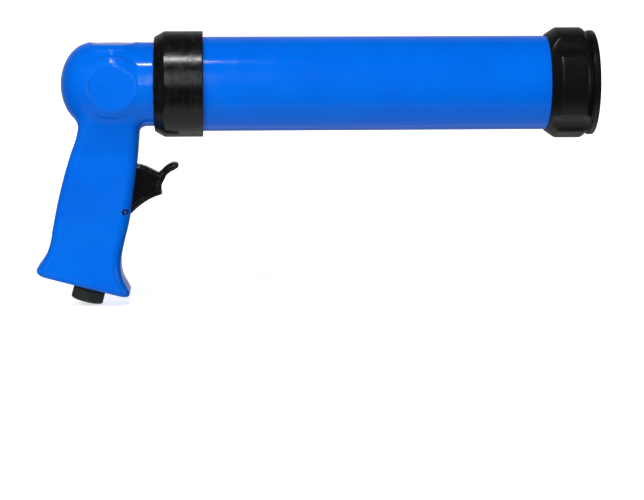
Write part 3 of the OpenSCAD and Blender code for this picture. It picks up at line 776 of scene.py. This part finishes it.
def head_field(x, y, z):
    """The head: a cylinder whose back end is half an ellipsoid, with three round pads. A
    pad is a flat face, a shallow cone round it and a steep wall down to the head."""
    radius = np.sqrt(y**2 + z**2)
    back = np.minimum(x + HEAD_STRAIGHT, 0) / DOME_LENGTH
    dome = (np.sqrt(back**2 + (radius / HEAD_R_FULL) ** 2) - 1) * HEAD_R_FULL
    dome = np.where(x < -HEAD_STRAIGHT, dome * 0.86, radius - HEAD_R_FULL)
    for out, across in ((y, z), (-y, z), (z, y)):
        from_pad = np.sqrt((x + PAD_BACK) ** 2 + across**2)
        slope = (from_pad - PAD_FACE_R + (out - PAD_HEIGHT) * PAD_FALL) * PAD_STEEP
        wall = from_pad - PAD_FOOT_R + (out - PAD_HEIGHT) * 0.12
        boss = soft_max(soft_max(slope, wall, 0.9), out - PAD_HEIGHT, 0.9)
        dome = soft_min(dome, soft_max(boss, 10 - out, 0.5), 2.0)
        facing = soft_max(from_pad - PAD_FACE_R, PAD_HEIGHT - out, 0.5)
        dome = soft_max(dome, -facing, 0.7)
    return dome


def grip_field(x, y, z, foot):
    """The grip: at each depth a rectangle with round corners, whose back, front and width
    follow the grip's three curves, cut off square to the inlet with a rounded rim."""
    depth = -z
    back, front, half = GRIP_BACK(depth), GRIP_FRONT(depth), GRIP_HALF(depth)
    middle = (back + front) / 2
    body = rounded_box(x - middle, y, (front - back) / 2, half, np.minimum(GRIP_CORNER_R, half - 2))
    rim = soft_max(body, foot, 4.6)
    return soft_max(rim, 6 - depth, 1)


def casting_field(points):
    """The whole casting: head and grip run into each other with a wide fillet, then the
    spigot, air chamber, trigger slot, pin hole, valve bore and inlet are taken out."""
    k = bpy.context.scene.gun_sizes.neck_fillet / MM
    x, y, z = points[..., 0] - COLLAR_X, points[..., 1], points[..., 2]
    at_inlet = into_frame(points, TILT, INLET_MOUTH)
    up = at_inlet[..., 2] - FOOT_WASHER
    body = soft_min(head_field(x, y, z), grip_field(x, y, z, -up), k)
    radius = np.sqrt(y**2 + z**2)
    body = soft_max(body, x, 0.4)
    spigot_end = GASKET[0][0] - COLLAR_X
    spigot = soft_max(radius - SPIGOT_R, np.abs(x + 2) - 2 - spigot_end, 0.5)
    body = np.minimum(body, spigot)
    chamber = soft_max(radius - CHAMBER_R, spigot_end - CHAMBER_DEPTH - x, 6)
    body = soft_max(body, -chamber, 0.5)
    pin = into_frame(points, LEAN, PIN)
    px, pz = pin[..., 0], pin[..., 2]
    slot = np.maximum(np.abs(y) - SLOT["half"], SLOT["back"] - px)
    slot = soft_max(slot, np.maximum(SLOT["below"] - pz, pz - SLOT["above"]), 1.5)
    body = soft_max(body, -slot, 0.8)
    pin_hole = np.hypot(px, pz) - PIN_R - PIN_HOLE_GAP
    body = soft_max(body, -pin_hole, 0.35)
    stem_r = np.sqrt(y**2 + (pz - STEM_LEVER) ** 2)
    bore = np.maximum(stem_r - VALVE_BORE_R, np.maximum(SEAT_X - px, px))
    spring = np.maximum(stem_r - CHAMBER_OF_SPRING_R, np.maximum(SPRING_END - px, px))
    body = soft_max(body, -np.minimum(bore, spring), 0.3)
    inlet_r = np.sqrt(at_inlet[..., 0] ** 2 + y**2)
    thread = np.maximum(inlet_r - INLET_BORE_R, up - INLET_DEPTH)
    screen = np.maximum(inlet_r - SCREEN_R, up - SCREEN_DEPTH)
    return soft_max(body, -np.minimum(thread, screen), 0.5)


# ---------------------------------------------------------------- the trigger


def arc(cx, cz, r, start, end, count):
    """Points along an arc about (cx, cz), from one angle in degrees to the other."""
    t = np.radians(np.linspace(start, end, count))
    return np.stack([cx + r * np.cos(t), cz + r * np.sin(t)], -1)


def trigger_front():
    """The trigger's front edge in the pin's frame, from the foot of its pin boss up round
    the finger hollow to the hook's tip."""
    return np.concatenate([
        [[3.4, -1.6], [6.4, 2.1], [9.6, 5.4], [13.1, 8.3], [16.4, 10.4], [19.8, 12.1]],
        arc(28.2, 16.8, 8.8, 208, 152, 9),
        [[21.5, 24.1], [23.6, 26.3], [26.0, 27.9]], arc(26.1, 30.4, 1.8, -50, 60, 6)])


def trigger_outline():
    """The trigger's whole side outline: the pin boss, the front edge, the notch behind the
    hook and the back edge."""
    return np.concatenate([
        arc(0, 0, 3.35, 205, 290, 7), trigger_front(),
        [[25.9, 32.2], [23.9, 31.9], [22.0, 30.8], [20.2, 29.2], [18.5, 27.1], [16.7, 24.9],
         [9.0, 27.6], [5.2, 28.3], [-1.5, 28.0], [-1.5, 4.35]]])


def side_distance(px, pz, start, end):
    """Distance from the straight side between two corners."""
    ex, ez = end - start
    t = np.clip(((px - start[0]) * ex + (pz - start[1]) * ez) / (ex * ex + ez * ez), 0, 1)
    return np.hypot(px - start[0] - t * ex, pz - start[1] - t * ez)


def edge_distance(px, pz, corners):
    """Distance from an open run of straight sides."""
    gaps = [side_distance(px, pz, a, b) for a, b in zip(corners[:-1], corners[1:])]
    return np.min(gaps, axis=0)


def polygon_distance(px, pz, corners):
    """Signed distance from a closed outline: the nearest side's distance, negative where
    the sides cross a ray from the point an odd number of times."""
    closed = np.concatenate([corners, corners[:1]])
    inside = np.zeros(px.shape, bool)
    for (ax, az), (bx, bz) in zip(closed[:-1], closed[1:]):
        crosses = (az > pz) != (bz > pz)
        safe = np.where(crosses, bz - az, 1)
        inside ^= crosses & (px < ax + (bx - ax) * (pz - az) / safe)
    return edge_distance(px, pz, closed) * np.where(inside, -1, 1)


def trigger_field(points):
    """The trigger: its outline given its width, with rounded rims. A finger plate of full
    width follows the front edge, and the web behind it and the hook are thinner."""
    pin = into_frame(points, LEAN, PIN)
    px, y, pz = pin[..., 0], pin[..., 1], pin[..., 2]
    half = (TRIGGER_SPAN[1][1] - TRIGGER_SPAN[0][1]) / 2
    side = polygon_distance(px, pz, trigger_outline())
    behind = np.clip((edge_distance(px, pz, trigger_front()) - 2.9) / 0.7, 0, 1)
    half = half - 0.75 * behind * behind * (3 - 2 * behind)
    body = soft_max(side, np.abs(y) - half, 2.2)
    bore = np.hypot(px, pz) - PIN_R - PIN_BORE_GAP
    return soft_max(body, -bore, 0.3)


# ---------------------------------------------------------------- operators


class PieceOperator:
    """Shared setting of the operators that build pieces."""

    bl_options = {"REGISTER", "UNDO"}


class GUN_OT_handle(PieceOperator, bpy.types.Operator):
    """Builds the cast head and grip"""

    bl_idname = "gun.handle"
    bl_label = "Head and grip"

    def execute(self, context):
        step = context.scene.gun_sizes.cast_grid / MM
        piece = field_mesh("handle_casting", casting_field, HANDLE[0], HANDLE[1], step)
        finish_piece(piece, "gun", "blue_enamel", "handle_body")
        return {"FINISHED"}


class GUN_OT_trigger(PieceOperator, bpy.types.Operator):
    """Builds the trigger"""

    bl_idname = "gun.trigger"
    bl_label = "Trigger"

    def execute(self, context):
        step = context.scene.gun_sizes.trigger_grid / MM
        piece = field_mesh("trigger_lever", trigger_field, TRIGGER_SPAN[0],
                           TRIGGER_SPAN[1], step)
        finish_piece(piece, "trigger", "black_trigger", "trigger")
        return {"FINISHED"}


class GUN_OT_pin(PieceOperator, bpy.types.Operator):
    """Builds the trigger's pivot pin, with a shallow hollow in each end"""

    bl_idname = "gun.pin"
    bl_label = "Pivot pin"

    def execute(self, context):
        end = PIN_SPAN[1][1]
        hollow, chamfer, edge = 0.35, 0.3, 0.25
        floor_r, rim_r = PIN_R * 0.45, PIN_R * 0.75
        path = rounded_path([[-end, 0], [-end + hollow, floor_r], [-end, rim_r],
                             [-end + chamfer, PIN_R], [end - chamfer, PIN_R], [end, rim_r],
                             [end - hollow, floor_r], [end, 0]], edge, closed=False)
        path[[0, -1]] = [[-end + hollow, 0], [end - hollow, 0]]

        def across(points):
            """The profile runs along X; here it lies along Y, through the pivot."""
            return np.stack([points[:, 1], points[:, 0], points[:, 2]], -1) + PIN

        piece = lathe("pivot_pin", path, closed=False, segments=48, place=across)
        finish_piece(piece, "gun", "blackened_steel", "trigger_pin")
        return {"FINISHED"}


class GUN_OT_barrel(PieceOperator, bpy.types.Operator):
    """Builds the barrel tube"""

    bl_idname = "gun.barrel"
    bl_label = "Barrel"

    def execute(self, context):
        inner = BARREL_R - BARREL_WALL
        x0, x1 = BARREL[0][0], BARREL[1][0]
        path = rounded_path([[x0, inner], [x0, BARREL_R], [x1, BARREL_R], [x1, inner]],
                            context.scene.gun_sizes.edge_round / MM)
        piece = lathe("barrel", path, segments=256)
        finish_piece(piece, "gun", "blue_barrel_enamel", "barrel_tube")
        return {"FINISHED"}


class GUN_OT_collar(PieceOperator, bpy.types.Operator):
    """Builds the turned collar between the head and the barrel"""

    bl_idname = "gun.collar"
    bl_label = "Rear collar"

    def execute(self, context):
        x0, x1, r = COLLAR[0][0], COLLAR[1][0], COLLAR[1][2]
        shoulder = GASKET[0][0]
        taper_length, taper_depth = 5.9, 3.4
        mouth, mouth_depth = 0.9, 0.7
        groove_depth, groove_in, groove_out = 0.5, 0.6, 0.8
        path = rounded_path(
            [[x0, SPIGOT_R + SLIP], [x0, HEAD_R_FULL - groove_in],
             [x0 + groove_depth, HEAD_R_FULL + 0.1], [x0, HEAD_R_FULL + groove_out],
             [x0, r - taper_depth], [x0 + taper_length, r], [x1, r],
             [x1, BARREL_R + mouth], [x1 - mouth_depth, BARREL_R + SLIP],
             [shoulder, BARREL_R + SLIP], [shoulder, SPIGOT_R + SLIP]],
            context.scene.gun_sizes.edge_round / MM)
        piece = lathe("collar", path, segments=256)
        finish_piece(piece, "gun", "black_turned_collar", "rear_collar")
        return {"FINISHED"}


class GUN_OT_cap(PieceOperator, bpy.types.Operator):
    """Builds the front cap with its four finger lobes"""

    bl_idname = "gun.cap"
    bl_label = "Front cap"

    def execute(self, context):
        sizes = context.scene.gun_sizes
        x0 = CAP[0][0]
        lobe = BARREL_R + sizes.lobe_height / MM
        inner = BARREL_R + SLIP
        floor = BARREL_R + 2.0
        ring = BARREL_R + 3.2
        shelf = CUSHION[1][0] + 0.05
        lip, cone_length = 0.9, 6.0
        lobe_front, lobe_foot, ring_back = -7.8, -4.2, -3.3
        corners = [[x0, inner], [x0, inner + lip], [x0 + cone_length, lobe],
                   [lobe_front, lobe], [lobe_foot, floor], [ring_back, floor],
                   [ring_back, ring], [0, ring], [0, NOZZLE_R], [shelf, NOZZLE_R],
                   [shelf, inner]]
        # How much each corner is rounded, against the ring's outer edge at 0.9 mm.
        radii = np.array([0.3, 0.5, 1.2, 1.0, 0.3, 0.3, 0.5, 0.9, 0.7, 0.5, 0.4])
        path = rounded_path(corners, radii * sizes.cap_round / (0.9 * MM), steps=6)
        # More points along the rear cone, where the scoops run out.
        ladder = [0.12, 0.25, 0.4, 0.6, 0.8]
        rise = np.argmax((path[:, 0] > x0 + 1.5) & (path[:, 1] > inner + 1))
        fill = path[rise - 1] + np.outer(ladder, path[rise] - path[rise - 1])
        path = np.concatenate([path[:rise], fill, path[rise:]])
        half_width, depth = 8.0, lobe - floor
        scoop_r = (half_width**2 + depth**2) / (2 * depth)
        centre = floor + scoop_r
        least = inner + 0.3

        def scooped(along, r, t):
            """Each scoop is a cylinder laid beside the cap. A ray at angle d from its
            middle meets it at c cos d - sqrt(s^2 - c^2 sin^2 d)."""
            d = (t + math.pi / 2) % (math.pi / 2) - math.pi / 4
            room = scoop_r**2 - (centre * np.sin(d)) ** 2
            reached = centre * np.cos(d) - np.sqrt(np.maximum(room, 0))
            reached = reached + np.where(room > 0, 0, 9)
            cut = soft_min(r, np.minimum(reached, lobe + 6), 0.9)
            outside = (r > least) & (along < ring_back - 0.02)
            return np.where(outside, np.maximum(cut, least), r)

        piece = lathe("screw_cap", path, segments=360, shape=scooped)
        finish_piece(piece, "cap", "black_moulded_cap", "front_cap")
        return {"FINISHED"}


class GUN_OT_inlet(PieceOperator, bpy.types.Operator):
    """Builds the hexagon inlet bushing"""

    bl_idname = "gun.inlet"
    bl_label = "Inlet bushing"

    def execute(self, context):
        hex_half = 9.5
        corner = hex_half / math.cos(math.pi / 6)
        top = FOOT_WASHER + 11.5
        air_way, socket_depth = 4.0, 11.0
        chamfer, face = 1.5, 0.7

        def hexagon(along, r, t):
            """The hexagon's wall is at half / cos(angle from the middle of a side)."""
            d = (t + math.pi / 6) % (math.pi / 3) - math.pi / 6
            wall = soft_min(r, hex_half / np.cos(d), 0.25)
            return np.where(along < HEX_HEIGHT + 0.01, wall, r)

        path = rounded_path(
            [[0, SOCKET_R + face], [0, hex_half - 0.4], [chamfer, corner + 0.1],
             [HEX_HEIGHT - 0.5, corner + 0.1], [HEX_HEIGHT, corner - 0.9],
             [HEX_HEIGHT, THREAD_R], [top, THREAD_R], [top, air_way],
             [socket_depth, air_way], [socket_depth, SOCKET_R], [face, SOCKET_R]], 0.3)
        piece = lathe("inlet_bushing", path, segments=192, shape=hexagon,
                      place=stand_at_inlet)
        finish_piece(piece, "gun", "dark_inlet_steel", "air_inlet_bushing")
        return {"FINISHED"}


class GUN_OT_inlet_washer(PieceOperator, bpy.types.Operator):
    """Builds the seal washer between the inlet's hexagon and the grip"""

    bl_idname = "gun.inlet_washer"
    bl_label = "Inlet seal washer"

    def execute(self, context):
        gap, inner, outer = 0.03, THREAD_R + 0.05, THREAD_R + 0.9
        low, high = HEX_HEIGHT + gap, HEX_HEIGHT + SEAL_THICKNESS - gap
        path = rounded_path([[low, inner], [low, outer], [high, outer], [high, inner]], 0.3)
        piece = lathe("inlet_washer", path, segments=96, place=stand_at_inlet)
        finish_piece(piece, "gun", "black_rubber", "inlet_seal_washer")
        return {"FINISHED"}


class GUN_OT_spring(PieceOperator, bpy.types.Operator):
    """Builds the valve spring at its length at rest"""

    bl_idname = "gun.spring"
    bl_label = "Valve spring"

    def execute(self, context):
        """The wire's middle is at (rise(u), R cos 2 pi u, R sin 2 pi u) after u turns.
        The first and last turn are closed, so there the rise is one wire for each turn."""
        wire, turns, gap = 0.6, 6.5, 0.05
        steps, sides = 240, 12
        push = joint_axis("stem_push")
        side = np.array([0.0, 1.0, 0.0])
        across = np.cross(push, side)
        near, far = reach("valve_spring", push)
        middle = sum(span("poppet_seal")) / 2
        middle = middle - (middle @ push) * push
        room = far - near - wire
        u = np.linspace(0, turns, steps)
        u = np.concatenate([u[:1], u, u[-1:]])[:, None]
        thick = np.full_like(u, wire / 2)
        thick[[0, -1]] = 0
        rise = np.interp(u, [0, 1, turns - 1, turns], [0, wire, room - wire, room])
        b = np.linspace(0, 2 * math.pi, sides, endpoint=False)[None, :]
        along = near + wire / 2 + rise + thick * np.sin(b)
        r = span("valve_spring")[1][1] - wire / 2 + thick * np.cos(b)
        a = 2 * math.pi * u
        points = (middle + along[..., None] * push + (r * np.cos(a))[..., None] * across
                  + (r * np.sin(a))[..., None] * side).reshape(-1, 3)
        piece = make_object("coil_spring", points, grid_faces(len(u), sides, False, True))
        finish_piece(piece, "gun", "spring_steel", "valve_spring")
        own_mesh(piece)
        return {"FINISHED"}


class GUN_OT_inside(PieceOperator, bpy.types.Operator):
    """Gives every inner piece of the frame its own finish"""

    bl_idname = "gun.inside"
    bl_label = "Inner pieces"

    def execute(self, context):
        for part in frame["record"]["subparts"]:
            piece = frame["nodes"][part["node"]]
            piece.data.materials.clear()
            piece.data.materials.append(FINISH[part["material_slot"]])
        return {"FINISHED"}


class GUN_OT_stage(PieceOperator, bpy.types.Operator):
    """Sets the camera, the pale floor and the soft studio light"""

    bl_idname = "gun.stage"
    bl_label = "Stage"

    def execute(self, context):
        context.scene.view_settings.view_transform = "Standard"
        set_camera(context.scene)
        set_world(context.scene)
        set_floor(context.scene)
        set_lights(context.scene)
        return {"FINISHED"}


# ---------------------------------------------------------------- stage


def set_camera(scene):
    """The camera stands a little to the rear of the gun's middle and looks down on it, with
    the gun in the upper part of the frame."""
    data = bpy.data.cameras.new("camera")
    camera = bpy.data.objects.new("camera", data)
    scene.collection.objects.link(camera)
    target = Vector((-0.1619, 0, -0.0500))
    distance, turn, rise = 1.2, math.radians(3.1), math.radians(7.0)
    back = Vector((-math.sin(turn) * math.cos(rise), -math.cos(turn) * math.cos(rise),
                   math.sin(rise)))
    width_seen = 0.3850
    data.sensor_width = 36.0
    data.lens = data.sensor_width * distance / width_seen
    data.shift_y = -0.129
    camera.location = target + back * distance
    camera.rotation_euler = (-back).to_track_quat("-Z", "Y").to_euler()
    data.clip_start, data.clip_end = 0.01, 50
    scene.camera = camera


def set_world(scene):
    """A studio dome: plain white where it is seen. Where it only lights and is mirrored it
    is pale behind the gun and on the ground, and dim in front and above."""
    world = bpy.data.worlds.new("studio")
    world.use_nodes = True
    tree = world.node_tree
    at = tree.nodes.new("ShaderNodeTexCoord").outputs["Generated"]
    split = node(tree, "ShaderNodeSeparateXYZ", [(0, at)]).outputs
    ground = remap(tree, split[2], -0.77, -0.68, 0.75, 0.035)
    behind = remap(tree, split[1], 0.5, 1.0, 0.0, 0.42)
    grey = math_node(tree, "ADD", ground, behind)
    shade = node(tree, "ShaderNodeCombineXYZ", [(0, grey), (1, grey), (2, grey)])
    seen = node(tree, "ShaderNodeLightPath").outputs["Is Camera Ray"]
    tree.links.new(mix_colour(tree, seen, shade.outputs[0], (1, 1, 1, 1)),
                   tree.nodes["Background"].inputs[0])
    scene.world = world


def set_floor(scene):
    """A wide pale floor at the lowest point of the gun, with a faint texture."""
    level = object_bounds()[0][2]
    n, half_size, gap = 9, 6, 0.0002
    side = np.linspace(-half_size, half_size, n)
    x, y = np.meshgrid(side, side, indexing="ij")
    points = np.stack([x, y, 0 * x + level - gap], -1).reshape(-1, 3)
    mesh = bpy.data.meshes.new("floor")
    mesh.from_pydata(points.tolist(), [], grid_faces(n, n, False, False).tolist())
    floor = bpy.data.objects.new("floor", mesh)
    if mesh.polygons[0].normal.z < 0:
        mesh.flip_normals()
    scene.collection.objects.link(floor)
    mat, tree, shader, at = new_material(
        "floor", Specular_IOR_Level=0.1, Emission_Strength=1.0)
    away = node(tree, "ShaderNodeVectorMath", [(0, at)], operation="LENGTH").outputs["Value"]
    glow = remap(tree, away, 0.25, 0.9, 0.56, 1.0)
    glow = node(tree, "ShaderNodeCombineXYZ", [(0, glow), (1, glow), (2, glow)])
    tree.links.new(glow.outputs[0], shader.inputs["Emission Color"])
    mottle = use(tree, "mottle", [(0, at), (1, 6.0), (2, 300.0)])
    tint = scene.gun_colours.floor
    darker = tuple(c * 0.985 for c in tint)
    tree.links.new(mix_colour(tree, mottle["Cloud"], rgba(tint), rgba(darker)),
                   shader.inputs["Base Color"])
    tree.links.new(remap(tree, mottle["Smear"], 0, 1, 0.5, 0.6), shader.inputs["Roughness"])
    mesh.materials.append(mat)
    floor.visible_diffuse = False
    floor.visible_glossy = False
    floor.visible_shadow = False
    floor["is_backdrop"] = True


def set_lights(scene):
    """Big soft boxes that light the whole gun, and small ones that glint on it."""
    middle = Vector((-0.165, 0, -0.03))
    for name, place, size, power, mirrored in (
            ("key", (-0.85, -1.3, 0.95), (2.0, 1.4), 17.0, False),
            ("front", (-0.75, -1.9, 0.1), (2.2, 1.8), 11.0, False),
            ("under", (-0.7, -1.2, -0.8), (2.0, 1.4), 9.0, False),
            ("back", (-0.2, 1.8, 1.1), (2.4, 1.6), 22.0, False),
            ("rim", (1.2, -0.55, 0.25), (0.3, 0.7), 3.0, True),
            ("glint", (-0.312, -0.49, 0.84), (0.15, 0.07), 4.0, True),
            ("band", (-0.275, -0.95, 0.29), (0.05, 0.50), 0.70, True)):
        data = bpy.data.lights.new(name, "AREA")
        data.shape = "RECTANGLE"
        data.size, data.size_y = size
        data.energy = power
        lamp = bpy.data.objects.new(name, data)
        lamp.location = Vector(place)
        lamp.rotation_euler = (middle - lamp.location).to_track_quat("-Z", "Y").to_euler()
        lamp.visible_glossy = mirrored
        scene.collection.objects.link(lamp)


# ---------------------------------------------------------------- panel and registration


OPERATORS = (GUN_OT_stage, GUN_OT_inside, GUN_OT_handle, GUN_OT_trigger, GUN_OT_pin,
             GUN_OT_barrel, GUN_OT_collar, GUN_OT_cap, GUN_OT_inlet, GUN_OT_inlet_washer,
             GUN_OT_spring)


class GUN_PT_pieces(bpy.types.Panel):
    """Lists the gun's pieces and its settings"""

    bl_label = "Caulking gun"
    bl_space_type = "VIEW_3D"
    bl_region_type = "UI"
    bl_category = "Caulking gun"

    def draw(self, context):
        for holder in (context.scene.gun_sizes, context.scene.gun_colours):
            for key in holder.__annotations__:
                self.layout.prop(holder, key)
        for piece in OPERATORS:
            self.layout.operator(piece.bl_idname)


CLASSES = (GunSizes, GunColours, *OPERATORS, GUN_PT_pieces)


def register():
    for cls in CLASSES:
        bpy.utils.register_class(cls)
    bpy.types.Scene.gun_sizes = bpy.props.PointerProperty(type=GunSizes)
    bpy.types.Scene.gun_colours = bpy.props.PointerProperty(type=GunColours)


def unregister():
    del bpy.types.Scene.gun_colours
    del bpy.types.Scene.gun_sizes
    for cls in reversed(CLASSES):
        bpy.utils.unregister_class(cls)


def main():
    """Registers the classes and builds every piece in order."""
    register()
    FINISH.update(finishes())
    bpy.ops.gun.stage()
    bpy.ops.gun.inside()
    bpy.ops.gun.handle()
    bpy.ops.gun.trigger()
    bpy.ops.gun.pin()
    bpy.ops.gun.barrel()
    bpy.ops.gun.collar()
    bpy.ops.gun.cap()
    bpy.ops.gun.inlet()
    bpy.ops.gun.inlet_washer()
    bpy.ops.gun.spring()


if __name__ == "__main__":
    main()
